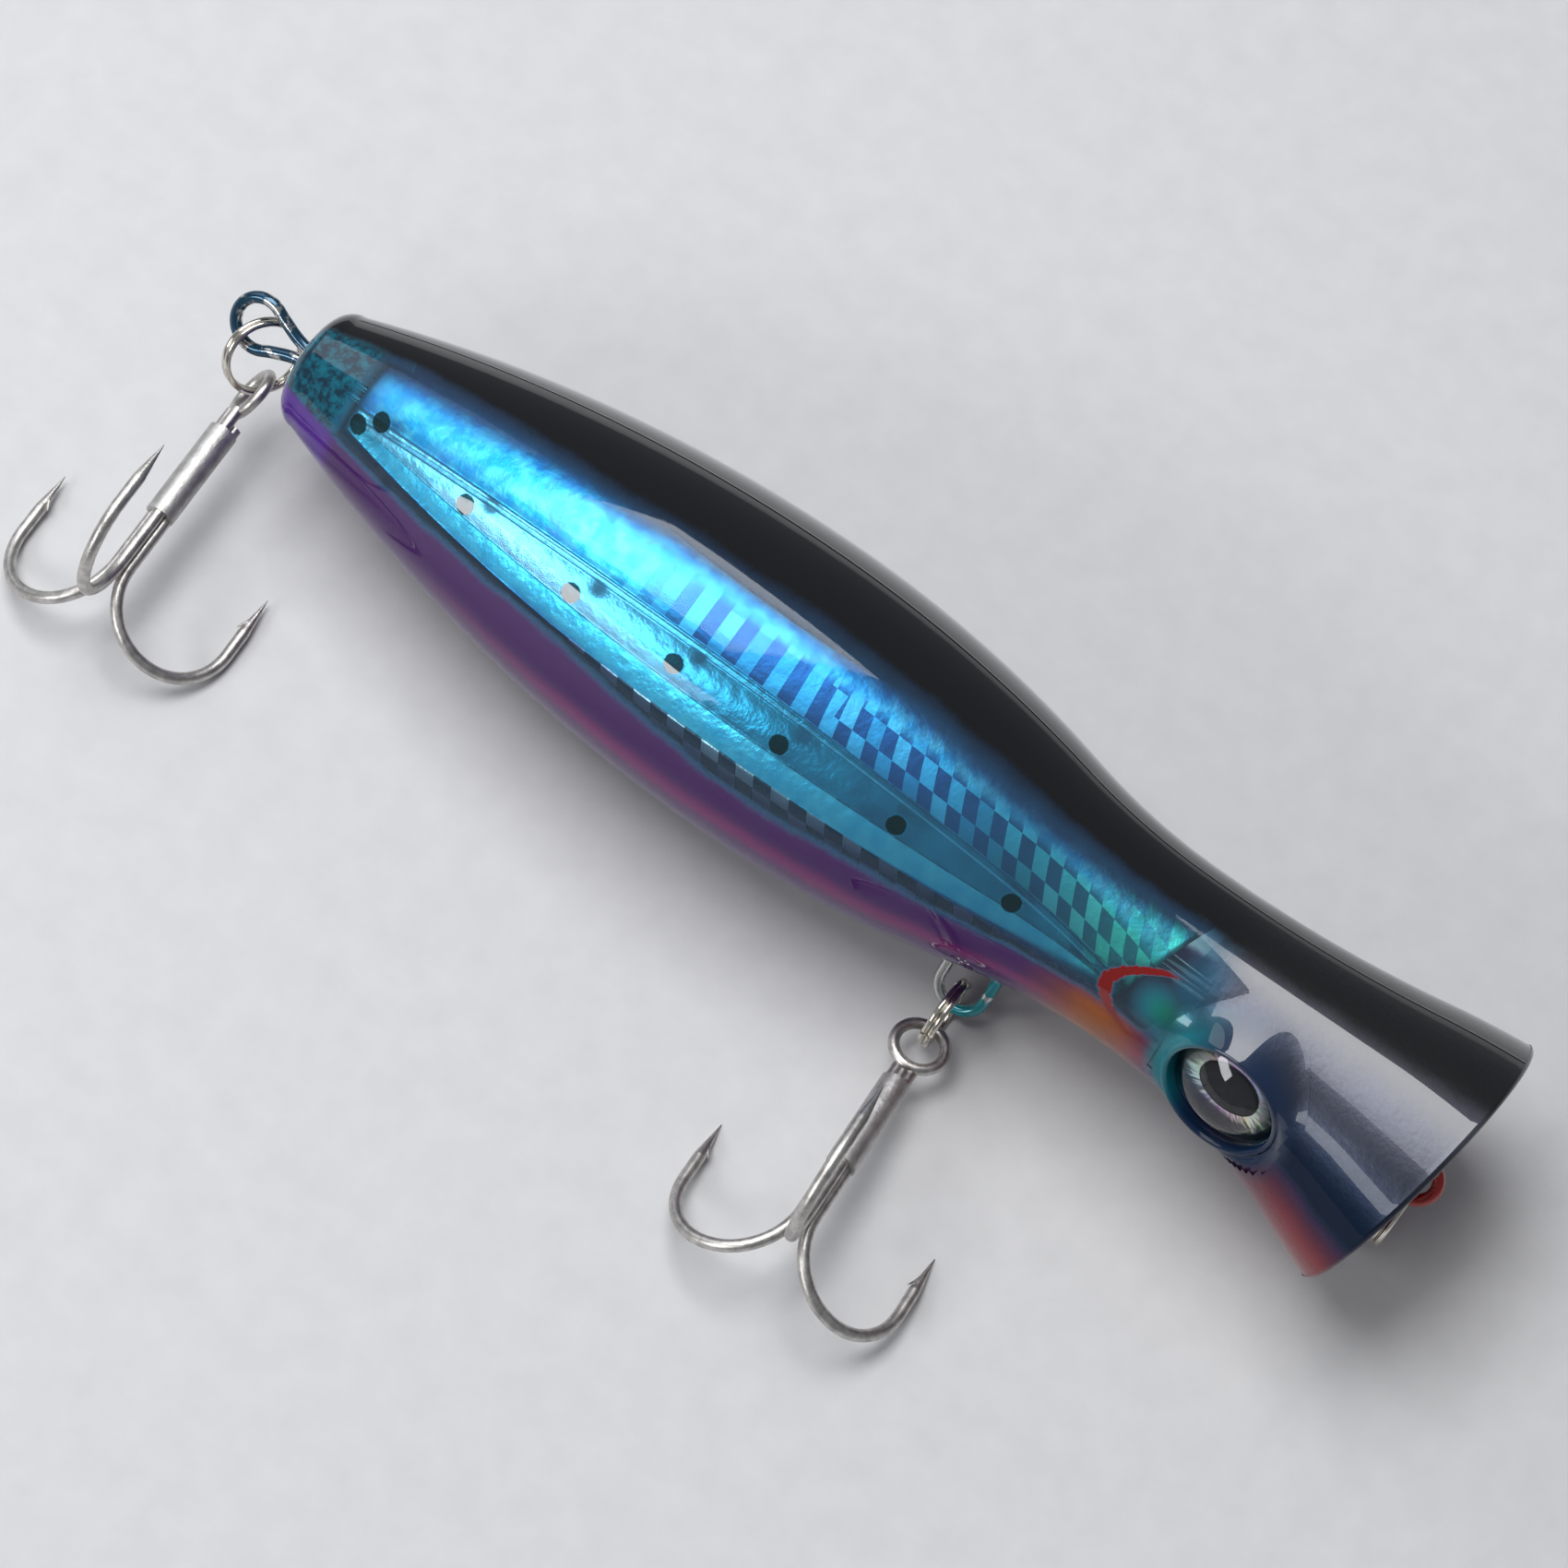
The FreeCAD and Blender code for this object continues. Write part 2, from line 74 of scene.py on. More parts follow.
# The black dots along the side: distance from the tail, and angle from the back in degrees.
DOTS = ((9.3, 78), (11.2, 68), (22.5, 75), (35.4, 77.4), (46.8, 76), (58.6, 78), (71, 79), (83, 82))
DOT_RADIUS, DOT_SOFTNESS = 1.0, 0.18
PARTING_RIDGE, PARTING_WIDTH = 0.05, math.radians(0.5)
LIP_BULGE, LIP_SETBACK = 0.6, 0.3
SOCKET_CUT = SOCKET_BLEND - 1.6
EYE_PAINT_REACH, EYE_PAINT_FADE = 8.2, 1.6
NEAR_SIDE = 3
IRIS_RISE, PUPIL_RISE, PUPIL_CROWN, DOME_RISE, DOME_CROWN = 0.3, 0.46, 0.06, 0.85, 2.65
PUPIL_HALF_WIDTH, PUPIL_HALF_HEIGHT = 3.1, 2.75
DISC_EDGE = 0.18
FOIL_REAR, FOIL_FRONT, FOIL_RAKE = 7.6, 98.6, 4.0
FOIL_MIDDLE, FOIL_REACH = 50, 43
FOIL_TOP, FOIL_CLEARANCE, FOIL_THICKNESS = 10.4, 0.2, 0.3
CHANNEL_DEPTH, CHANNEL_EDGE = 1.25, 0.10
WIRE_SIDES = 20
RING_WIRE, RING_TURNS, RING_STEPS, RING_HALF_STEP = 0.32, 1.96, 220, 0.31
THROUGH_WIRE_RADIUS = 0.6


def hull_radius(x):
    """Radius of the body at x: one long arc to the girth, then two arcs into and out of the neck."""
    run, step = NECK_AT - GIRTH_AT, GIRTH_RADIUS - NECK_RADIUS
    neck_arc = (run ** 2 + step ** 2) / (2 * step) - CROWN_ARC
    join = GIRTH_AT + run * CROWN_ARC / (CROWN_ARC + neck_arc)
    arc = np.where(x <= GIRTH_AT, TAIL_ARC, CROWN_ARC)
    hump = GIRTH_RADIUS - arc + np.sqrt(arc ** 2 - (np.minimum(x, join) - GIRTH_AT) ** 2)
    arc = np.where(x <= NECK_AT, neck_arc, THROAT_ARC)
    waist = NECK_RADIUS + arc - np.sqrt(arc ** 2 - (np.maximum(x, join) - NECK_AT) ** 2)
    radius = np.where(x <= join, hump, waist)
    blend = np.clip((x - 118.0) / (BODY_LENGTH - 118.0), 0, 1)
    end = NECK_RADIUS + THROAT_ARC - math.sqrt(THROAT_ARC ** 2 - (BODY_LENGTH - NECK_AT) ** 2)
    return radius + (MOUTH_RADIUS - end) * blend ** 2


def flare(x):
    """0 at the neck, 1 at the mouth."""
    return np.clip((x - NECK_AT) / (BODY_LENGTH - NECK_AT), 0, 1) ** 1.6


def dot_arc(at, turn):
    """How far a dot's middle lies from the middle of the side, along the skin."""
    return float(np.radians(turn - 90) * hull_radius(np.array([at]))[0])


def section(x, radius, around):
    """Points on a cross-section of the body. around is the angle from the back, to the right side."""
    lean = MOUTH_SLANT * flare(x)
    height, side = radius * np.cos(around), radius * np.sin(around)
    return np.stack([
        x + height * np.sin(lean), -side, height * np.cos(lean) - MOUTH_DROP * flare(x)], axis=-1)


def to_row(points):
    """Points in the lure's millimetres, as metres in the row frame."""
    return np.asarray(points) @ LURE + np.array(tail_end)


def grid_faces(rows, columns, wrap=False):
    """Quads over a grid of points; wrap joins the last column to the first."""
    last = columns if wrap else columns - 1
    corner = np.arange(rows * columns).reshape(rows, columns)
    faces = []
    for row in range(rows - 1):
        for column in range(last):
            after = (column + 1) % columns
            faces.append((
                corner[row, column], corner[row + 1, column],
                corner[row + 1, after], corner[row, after]))
    return faces


def mesh_object(name, points, faces, material, body, attributes=None, normals=None):
    """A smooth-shaded mesh from points in the row frame, riding on a body."""
    mesh = bpy.data.meshes.new(name)
    mesh.from_pydata([tuple(point) for point in points], [], [tuple(map(int, face)) for face in faces])
    for key, values in (attributes or {}).items():
        kind = "FLOAT_VECTOR" if np.ndim(values) == 2 else "FLOAT"
        layer = mesh.attributes.new(key, kind, "POINT")
        layer.data.foreach_set("vector" if kind == "FLOAT_VECTOR" else "value",
                               np.asarray(values, np.float32).ravel())
    mesh.shade_smooth()
    if normals is not None:
        mesh.normals_split_custom_set_from_vertices([tuple(normal) for normal in normals])
    mesh.materials.append(material)
    piece = bpy.data.objects.new(name, mesh)
    bpy.context.collection.objects.link(piece)
    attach(piece, body)
    return piece


# Materials -----------------------------------------------------------------------------------------

class Graph:
    """A short way to write a material's nodes."""

    def __init__(self, name):
        self.material = bpy.data.materials.new(name)
        self.material.use_nodes = True
        self.tree = self.material.node_tree
        self.tree.nodes.clear()

    def add(self, kind, **inputs):
        node = self.tree.nodes.new(kind)
        for key, value in inputs.items():
            self.feed(node.inputs[key.replace("_", " ")], value)
        return node

    def feed(self, socket, value):
        if isinstance(value, bpy.types.NodeSocket):
            self.tree.links.new(value, socket)
        elif isinstance(value, tuple) and socket.type == "RGBA":
            socket.default_value = (*value, 1) if len(value) == 3 else value
        else:
            socket.default_value = value

    def attribute(self, name, output="Fac"):
        node = self.tree.nodes.new("ShaderNodeAttribute")
        node.attribute_name = name
        return node.outputs[output]

    def math(self, operation, *values, clamp=False):
        node = self.tree.nodes.new("ShaderNodeMath")
        node.operation, node.use_clamp = operation, clamp
        for socket, value in zip(node.inputs, values):
            self.feed(socket, value)
        return node.outputs[0]

    def step(self, value, start, end, low=0.0, high=1.0):
        """low up to start, high from end on, and a smooth step between them."""
        node = self.tree.nodes.new("ShaderNodeMapRange")
        node.interpolation_type = "SMOOTHSTEP"
        for key, setting in (("Value", value), ("From Min", start), ("From Max", end),
                             ("To Min", low), ("To Max", high)):
            self.feed(node.inputs[key], setting)
        return node.outputs[0]

    def bump_at(self, value, centre, width):
        """1 at the centre, falling smoothly to 0 a width away."""
        distance = self.math("ABSOLUTE", self.math("SUBTRACT", value, centre))
        return self.step(distance, 0.0, width, 1.0, 0.0)

    def mix(self, factor, first, second):
        node = self.tree.nodes.new("ShaderNodeMix")
        node.data_type, node.clamp_factor = "RGBA", True
        self.feed(node.inputs[0], factor)
        self.feed(node.inputs[6], first)
        self.feed(node.inputs[7], second)
        return node.outputs[2]

    def noise(self, vector, scale, detail=3.0, roughness=0.55):
        node = self.add(
            "ShaderNodeTexNoise", Vector=vector, Scale=scale, Detail=detail, Roughness=roughness)
        return node.outputs["Fac"]

    def white(self, vector):
        return self.add("ShaderNodeTexWhiteNoise", Vector=vector).outputs["Value"]

    def vector(self, x, y, z=0.0):
        return self.add("ShaderNodeCombineXYZ", X=x, Y=y, Z=z).outputs[0]

    def bump(self, height, strength, distance):
        node = self.add("ShaderNodeBump", Height=height, Strength=strength, Distance=distance)
        return node.outputs[0]

    def principled(self, **inputs):
        return self.add("ShaderNodeBsdfPrincipled", **inputs).outputs[0]

    def fresnel(self, ior):
        return self.add("ShaderNodeFresnel", IOR=ior).outputs[0]

    def blend(self, factor, first, second):
        """A mix of two shaders."""
        node = self.add("ShaderNodeMixShader")
        for socket, value in zip(node.inputs, (factor, first, second)):
            self.feed(socket, value)
        return node.outputs[0]

    def output(self, shader):
        node = self.tree.nodes.new("ShaderNodeOutputMaterial")
        self.tree.links.new(shader, node.inputs["Surface"])
        return self.material


def position_of(graph):
    """The place on the surface in metres, which moves with nothing but the piece."""
    return graph.tree.nodes.new("ShaderNodeNewGeometry").outputs["Position"]


PAINT = {
    "upper blue": (0.0, 0.05, 0.14), "side blue": (0.0, 0.26, 0.50), "violet": (0.050, 0.006, 0.10),
    "magenta": (0.15, 0.003, 0.11), "dark teal": (0.0, 0.022, 0.045), "light teal": (0.0, 0.12, 0.18),
    "tail violet": (0.07, 0.01, 0.24), "green": (0.0, 0.24, 0.17), "brown": (0.10, 0.025, 0.004),
    "orange": (0.42, 0.10, 0.005), "plum": (0.030, 0.004, 0.030), "pearl": (0.050, 0.054, 0.072),
    "navy": (0.005, 0.014, 0.036), "lip red": (0.17, 0.002, 0.010), "cup red": (0.16, 0.008, 0.02),
    "socket blue": (0.004, 0.015, 0.045), "socket teal": (0.0, 0.20, 0.24),
    "back black": (0.004, 0.004, 0.005), "dot black": (0.002, 0.014, 0.016),
    "gill red": (0.17, 0.006, 0.005), "gloss": (0.93, 0.96, 1.0)}
TINT = {
    "upper": (0.20, 0.50, 0.70), "side": (0.70, 0.95, 1.0), "belly": (0.22, 0.05, 0.38),
    "tail": (0.04, 0.30, 0.42)}


def gill_mask(g, along, around, fine):
    """The red gill line: a thin bow behind the eye."""
    bend = g.math("MULTIPLY", g.math("SUBTRACT", around, 90.0), 1 / 23.0)
    bow = g.math("ADD", 93.6, g.math("MULTIPLY", 4.2, g.math("MULTIPLY", bend, bend)))
    wavy = g.math("ADD", bow, g.math("MULTIPLY", g.math("SUBTRACT", fine, 0.5), 0.8))
    gap = g.math("ABSOLUTE", g.math("SUBTRACT", along, wavy))
    line = g.math("MULTIPLY", g.step(gap, 0.9, 0.55), g.step(around, 63.0, 67.0))
    return g.math("MULTIPLY", line, g.step(around, 118.0, 100.0))


def dot_mask(g, along, arc, fine):
    """The row of black dots along the side."""
    dots = None
    for at, turn in DOTS:
        side = g.math("SUBTRACT", arc, dot_arc(at, turn))
        squares = [g.math("POWER", g.math("SUBTRACT", along, at), 2.0), g.math("POWER", side, 2.0)]
        reach = g.math("SQRT", g.math("ADD", *squares))
        ragged = g.math("ADD", reach, g.math("MULTIPLY", fine, 0.25))
        dot = g.step(ragged, DOT_RADIUS + DOT_SOFTNESS, DOT_RADIUS)
        dots = dot if dots is None else g.math("MAXIMUM", dots, dot)
    return dots


# Masks are laid out by along, in millimetres from the tail, and by angle, in degrees from the back.
def shell_material():
    """Clear moulded plastic under sprayed colour: black back, blue sides, violet belly, red lip."""
    g = Graph("painted_clear_plastic")
    along, around = g.attribute("along"), g.attribute("around")
    arc, inside, eyeward = g.attribute("arc"), g.attribute("inside"), g.attribute("eyeward")
    place = g.attribute("lure", "Vector")
    spray = g.noise(place, 0.16, 4.0)
    fine = g.noise(place, 2.6, 2.0)
    wander = g.math("ADD", g.math("MULTIPLY", spray, 8.0), g.math("MULTIPLY", fine, 2.0))
    angle = g.math("ADD", around, g.math("SUBTRACT", wander, 5.0))

    head = g.step(along, 97.0, 104.0)
    back_edge = g.math("SUBTRACT", 35.0, g.step(along, 32.0, 6.0, 0.0, 7.0))
    back = g.step(g.math("SUBTRACT", angle, back_edge), 6.0, -6.0)
    haze = g.math("MULTIPLY", g.step(g.math("SUBTRACT", angle, back_edge), 10.0, 0.0), 0.5)
    low = g.math("ADD", angle, g.step(along, 56.0, 36.0, 0.0, 7.0))
    belly = g.step(low, 100.0, 107.0)
    tail = g.step(along, 8.4, 6.4)
    cheek = g.math("MULTIPLY", head, g.step(angle, 113.0, 103.0))
    jaw = g.math("MULTIPLY", g.step(along, 99.0, 106.0), g.step(angle, 103.0, 113.0))
    lip = g.math("MULTIPLY", g.step(along, 109.0, 120.0), g.step(angle, 108.0, 128.0))
    throat = g.math("MULTIPLY", g.bump_at(along, 94.5, 9.0), g.step(angle, 98.0, 112.0))
    temple = g.math("MULTIPLY", g.bump_at(along, 99.5, 4.6), g.bump_at(around, 86.0, 20.0))
    magenta = g.math("MULTIPLY", g.bump_at(angle, 124.0, 9.0), g.step(along, 14.0, 45.0))

    gill = gill_mask(g, along, around, fine)
    dots = dot_mask(g, along, arc, fine)

    colour = g.mix(g.step(angle, 30.0, 70.0), PAINT["upper blue"], PAINT["side blue"])
    threads = g.noise(place, 1.1, 6.0, 0.7)
    teal = g.mix(g.step(threads, 0.4, 0.62), PAINT["dark teal"], PAINT["light teal"])
    socket = g.mix(g.step(along, 106.0, 99.0), PAINT["socket blue"], PAINT["socket teal"])
    for mask, coat in (
            (belly, PAINT["violet"]),
            (magenta, PAINT["magenta"]),
            (tail, g.mix(belly, teal, PAINT["tail violet"])),
            (temple, PAINT["green"]),
            (throat, g.mix(spray, PAINT["brown"], PAINT["orange"])),
            (jaw, PAINT["plum"]),
            (cheek, g.mix(g.step(angle, 60.0, 98.0), PAINT["pearl"], PAINT["navy"])),
            (lip, PAINT["lip red"]),
            (eyeward, socket),
            (back, PAINT["back black"]),
            (dots, PAINT["dot black"]),
            (gill, PAINT["gill red"]),
            (inside, PAINT["cup red"])):
        colour = g.mix(mask, colour, coat)

    paint = g.math("MAXIMUM", back, g.math("MULTIPLY", dots, 0.95))
    for mask, strength in (
            (haze, 1.0), (belly, 0.87), (tail, 0.80), (temple, 0.75), (throat, 0.93), (jaw, 0.97),
            (lip, 0.98), (cheek, 1.0), (gill, 1.0), (eyeward, 1.0), (inside, 1.0)):
        paint = g.math("MAXIMUM", paint, g.math("MULTIPLY", mask, strength))
    paint = g.math("MAXIMUM", paint, 0.07)
    bare = g.math("SUBTRACT", 1.0, paint)
    cover = g.math("ADD", paint, g.math("MULTIPLY", g.fresnel(1.42), bare), clamp=True)
    share = g.math("DIVIDE", paint, cover, clamp=True)
    colour = g.mix(share, PAINT["gloss"], colour)

    pearl = g.math("MULTIPLY", cheek, g.step(g.math("SUBTRACT", angle, back_edge), 2.0, 26.0))
    pearl = g.math("MULTIPLY", pearl, g.math("SUBTRACT", 1.0, eyeward))
    metallic = g.math("MAXIMUM", g.math("SUBTRACT", 1.0, share), g.math("MULTIPLY", pearl, 0.85))
    roughness = g.math("ADD", g.step(fine, 0.35, 0.75, 0.04, 0.08), g.math("MULTIPLY", cheek, 0.32))
    peel_strength = g.math("ADD", 0.05, g.math("MULTIPLY", head, 0.6))
    peel = g.math("MULTIPLY", g.noise(place, 1.5, 2.0), peel_strength)
    normal = g.bump(g.math("ADD", peel, g.noise(place, 0.3, 2.0)), 0.07, 0.0006)
    dull = g.math("SUBTRACT", 1.0, g.math("MULTIPLY", pearl, 0.75))
    lacquer = g.math("MULTIPLY", g.step(angle, 98.0, 114.0, 1.0, 0.35), dull)
    painted = g.principled(
        Base_Color=colour, Metallic=metallic, Roughness=roughness, IOR=1.2, Normal=normal,
        Coat_Weight=lacquer, Coat_Roughness=0.02)
    tint = g.mix(g.step(angle, 34.0, 48.0), TINT["upper"], TINT["side"])
    tint = g.mix(belly, tint, TINT["belly"])
    tint = g.mix(tail, tint, TINT["tail"])
    clear = g.add("ShaderNodeBsdfTransparent", Color=tint).outputs[0]
    return g.output(g.blend(cover, clear, painted))


def foil_material():
    """Holographic foil: bright cyan, a channel along the side, blue cells above, silver ones below.

    above and below are millimetres up from the channel's top edge and down from its lower edge.
    """
    g = Graph("holographic_foil")
    along, above, below = g.attribute("along"), g.attribute("above"), g.attribute("below")
    channel, bevel = g.attribute("channel"), g.attribute("bevel")
    place = g.attribute("lure", "Vector")
    wave, cloud = g.noise(place, 0.16, 3.0), g.noise(place, 0.6, 4.0)

    row = g.math("FLOOR", g.math("DIVIDE", above, 1.75))
    slant = g.math("MULTIPLY", above, g.step(along, 52.0, 72.0, 0.0, 0.55))
    shift = g.math("MULTIPLY", row, g.step(along, 56.0, 66.0, 0.0, 1.0))
    across = g.math("ADD", g.math("DIVIDE", g.math("ADD", along, slant), 1.55), g.math("ROUND", shift))
    cell = g.math("FLOOR", across)
    odd = g.math("ABSOLUTE", g.math("MODULO", cell, 2.0))
    chance = g.white(g.vector(cell, row))
    odd = g.math("MULTIPLY", odd, g.step(chance, 0.0, 0.35, 0.55, 1.0))
    rows = g.math("MULTIPLY", g.step(above, 0.15, 0.35), g.step(above, 4.6, 3.4))
    rows = g.math("MULTIPLY", rows, g.step(along, 33.0, 48.0))

    upper = g.mix(g.step(cloud, 0.36, 0.66), (0.0, 0.44, 0.84), (0.14, 0.74, 1.0))
    upper = g.mix(g.step(wave, 0.5, 0.8), upper, (0.10, 0.34, 0.85))
    # Painted shade: the foil turns deeper blue higher up and from the middle forward.
    far = g.mix(g.step(cloud, 0.3, 0.7), (0.03, 0.13, 0.30), (0.16, 0.30, 0.50))
    upper = g.mix(g.math("MULTIPLY", g.step(above, 3.0, 6.0), g.step(along, 45.0, 75.0)), upper, far)
    green = g.step(along, 66.0, 96.0)
    dark = g.mix(green, (0.0, 0.085, 0.30), (0.0, 0.11, 0.16))
    light = g.mix(green, (0.03, 0.42, 0.80), (0.03, 0.46, 0.36))
    light = g.mix(g.math("MULTIPLY", chance, 0.35), light, (0.25, 0.62, 0.75))
    upper = g.mix(rows, upper, g.mix(odd, dark, light))

    # Painted highlights: pale cyan lines along the two ridges at the channel's top edge.
    ridge_highlights = g.math("MAXIMUM", g.bump_at(above, 0.1, 0.16), g.bump_at(above, -0.85, 0.14))
    # The channel floor: darker blue as painted shade in the recess, whitening towards the rear as painted glare.
    trough_shade_and_glare = g.mix(g.step(wave, 0.3, 0.7), (0.0, 0.16, 0.30), (0.01, 0.30, 0.48))
    trough_shade_and_glare = g.mix(g.step(along, 58.0, 20.0), trough_shade_and_glare, (0.22, 0.56, 0.76))
    # The bevel under the channel is bright cyan: the foil's colour with a painted highlight on its sloping face.
    bevel_band_highlight = g.mix(g.step(cloud, 0.2, 0.8), (0.05, 0.58, 0.90), (0.16, 0.78, 1.0))
    tile = g.math("FLOOR", g.math("DIVIDE", g.math("ADD", along, g.math("MULTIPLY", below, -0.35)), 1.9))
    tier = g.math("FLOOR", g.math("DIVIDE", g.math("SUBTRACT", below, 2.1), 1.35))
    silver_odd = g.math("ABSOLUTE", g.math("MODULO", g.math("ADD", tile, tier), 2.0))
    glint = g.white(g.vector(tile, tier, 5.0))
    silver = g.mix(silver_odd, (0.035, 0.05, 0.085), g.mix(glint, (0.30, 0.36, 0.44), (0.80, 0.86, 0.90)))

    colour = g.mix(g.step(channel, 0.4, 0.6), upper, trough_shade_and_glare)
    colour = g.mix(g.step(bevel, 0.4, 0.6), colour, bevel_band_highlight)
    colour = g.mix(g.step(below, 2.1, 2.2), colour, silver)
    colour = g.mix(ridge_highlights, colour, (0.16, 0.58, 0.86))
    # Painted shade: a dark line along the fold at the channel's lower edge.
    seam = g.math("MULTIPLY", g.bump_at(below, 0.0, 0.10), 0.8)
    colour = g.mix(seam, colour, (0.0, 0.03, 0.07))
    teal = g.math("MULTIPLY", g.step(along, 84.0, 96.0), 0.7)
    colour = g.mix(teal, colour, g.mix(odd, (0.0, 0.20, 0.18), (0.02, 0.46, 0.30)))

    raised = g.math("MULTIPLY", odd, rows)
    roughness = g.math("ADD", g.step(above, 0.0, 1.5, 0.26, 0.36), g.math("MULTIPLY", raised, 0.08))
    relief = g.math("ADD", g.math("MULTIPLY", raised, 0.5), g.noise(place, 0.9, 3.0))
    normal = g.bump(relief, 0.22, 0.0003)
    return g.output(g.principled(
        Base_Color=colour, Metallic=0.72, Roughness=roughness, Normal=normal, IOR=1.6))


def wire_material(name, steel, paint, mask_from, mask_to):
    """Polished wire that overspray covers from one x to another, thinly where it is worn."""
    g = Graph(name)
    place = position_of(g)
    worn = g.noise(place, 900.0, 3.0)
    x = g.add("ShaderNodeSeparateXYZ", Vector=place).outputs[0]
    cover = g.step(g.math("ADD", x, g.math("MULTIPLY", worn, 0.0012)), mask_from, mask_to)
    cover = g.math("MULTIPLY", cover, g.step(worn, 0.30, 0.42))
    colour = g.mix(cover, steel, paint)
    metallic = g.math("SUBTRACT", 1.0, g.math("MULTIPLY", cover, 0.75))
    normal = g.bump(g.noise(place, 2500.0, 2.0), 0.12, 0.0001)
    rough = g.math("ADD", 0.16, g.math("MULTIPLY", worn, 0.12))
    return g.output(g.principled(
        Base_Color=colour, Metallic=metallic, Roughness=rough, Normal=normal, Coat_Weight=0.3))


def metal_material(name, light, dark, roughness, grain, bump):
    """Bare metal with fine mottling."""
    g = Graph(name)
    place = position_of(g)
    mottle = g.noise(place, grain, 5.0, 0.65)
    pits = g.noise(place, grain * 5, 3.0, 0.7)
    colour = g.mix(g.step(mottle, 0.32, 0.68), dark, light)
    rough = g.math("ADD", roughness, g.math("MULTIPLY", g.math("SUBTRACT", pits, 0.5), 0.22))
    normal = g.bump(g.math("ADD", pits, mottle), bump, 0.0001)
    return g.output(g.principled(Base_Color=colour, Metallic=1.0, Roughness=rough, Normal=normal))


def iris_material():
    """Silver foil whose colour turns twice through the rainbow round the eye."""
    g = Graph("holographic_iris")
    turn, reach = g.attribute("turn"), g.attribute("reach")
    rays = g.noise(g.vector(g.math("MULTIPLY", turn, 30.0), g.math("MULTIPLY", reach, 1.2)), 1.0, 3.0)
    hue = g.math("FRACT", g.math("ADD", g.math("MULTIPLY", turn, 2.0), g.math("MULTIPLY", reach, 0.5)))
    rainbow = g.add("ShaderNodeCombineColor")
    rainbow.mode = "HSV"
    g.feed(rainbow.inputs[0], hue)
    rainbow.inputs[1].default_value, rainbow.inputs[2].default_value = 0.45, 0.9
    colour = g.mix(g.step(rays, 0.3, 0.7), (0.80, 0.80, 0.78), rainbow.outputs[0])
    normal = g.bump(rays, 0.35, 0.0004)
    return g.output(g.principled(Base_Color=colour, Metallic=0.95, Roughness=0.18, Normal=normal))


def pupil_material():
    """Flat black print with a faint mottle."""
    g = Graph("pupil_black")
    fine = g.noise(position_of(g), 1500.0, 2.0)
    colour = g.mix(fine, (0.003, 0.003, 0.004), (0.012, 0.012, 0.014))
    rough = g.step(fine, 0.3, 0.7, 0.10, 0.2)
    return g.output(g.principled(Base_Color=colour, Roughness=rough, IOR=1.2))


def dome_material():
    """Clear cast resin, seen only by what it mirrors."""
    g = Graph("clear_resin")
    fine = g.noise(position_of(g), 700.0, 2.0)
    mirror = g.principled(
        Base_Color=g.mix(fine, (0.90, 0.93, 0.95), (0.97, 0.98, 1.0)), Metallic=1.0,
        Roughness=g.step(fine, 0.3, 0.7, 0.01, 0.03))
    clear = g.add("ShaderNodeBsdfTransparent", Color=(0.95, 0.97, 0.98)).outputs[0]
    return g.output(g.blend(g.fresnel(1.5), clear, mirror))


def floor_material():
    """Plain pale grey with a fine grain."""
    g = Graph("pale_floor")
    grain = g.noise(position_of(g), 260.0, 4.0)
    colour = g.mix(grain, (0.50, 0.50, 0.51), (0.58, 0.58, 0.59))
    normal = g.bump(grain, 0.15, 0.0004)
    return g.output(g.principled(Base_Color=colour, Roughness=0.75, Normal=normal))


SHELL = shell_material()
FOIL = foil_material()
IRIS, PUPIL, DOME = iris_material(), pupil_material(), dome_material()
TINNED = metal_material("tinned_hook", (0.62, 0.60, 0.57), (0.40, 0.385, 0.37), 0.36, 1100.0, 0.25)
SOLDER = metal_material("dull_solder", (0.60, 0.59, 0.58), (0.44, 0.43, 0.42), 0.46, 700.0, 0.45)
NICKEL = metal_material("bright_nickel", (0.72, 0.69, 0.62), (0.52, 0.48, 0.42), 0.16, 900.0, 0.06)
LEAD = metal_material("ballast_lead", (0.30, 0.30, 0.32), (0.17, 0.17, 0.18), 0.55, 500.0, 0.5)


# Body ----------------------------------------------------------------------------------------------

def from_eye_axis(side, points):
    """How far points lie along an eye's axis, and how far from it."""
    look = eye_frame(side)[0]
    offset = points - EYE_ROOT
    depth = offset @ look
    return depth, np.linalg.norm(offset - depth[:, None] * look, axis=1)


def surface_attributes(points):
    """What the paint is laid out by: distance along, angle from the back, arc from the side."""
    x, y, z = points[:, 0], points[:, 1], points[:, 2]
    level = z + MOUTH_DROP * flare(x)
    around = np.degrees(np.arctan2(np.abs(y), level))
    reach = np.full(len(x), np.inf)
    for side in SIDES:
        depth, across = from_eye_axis(side, points)
        reach = np.where(depth > NEAR_SIDE, np.minimum(reach, across), reach)
    return {
        "along": x, "around": around, "arc": np.radians(around - 90) * np.hypot(y, level),
        "lure": points, "inside": np.zeros(len(x)),
        "eyeward": np.clip((EYE_PAINT_REACH - reach) / EYE_PAINT_FADE, 0, 1),
    }


def hull_profile():
    """(x, radius) stations of the outside, from the middle of the tail to the mouth."""
    turn = np.linspace(0, math.pi / 2, 9)
    crown = hull_radius(np.array([TAIL_ROUNDING]))[0]
    tail_x = TAIL_ROUNDING - TAIL_ROUNDING * np.cos(turn)
    tail_radius = crown - TAIL_ROUNDING * (1 - np.sin(turn))
    middle = np.linspace(0.2, tail_radius[0], 6)[:-1]
    stations = np.arange(TAIL_ROUNDING + 0.5, BODY_LENGTH, 0.55)
    x = np.concatenate([np.zeros(len(middle)), tail_x, stations])
    radius = np.concatenate([middle, tail_radius, hull_radius(stations)])
    return x, radius


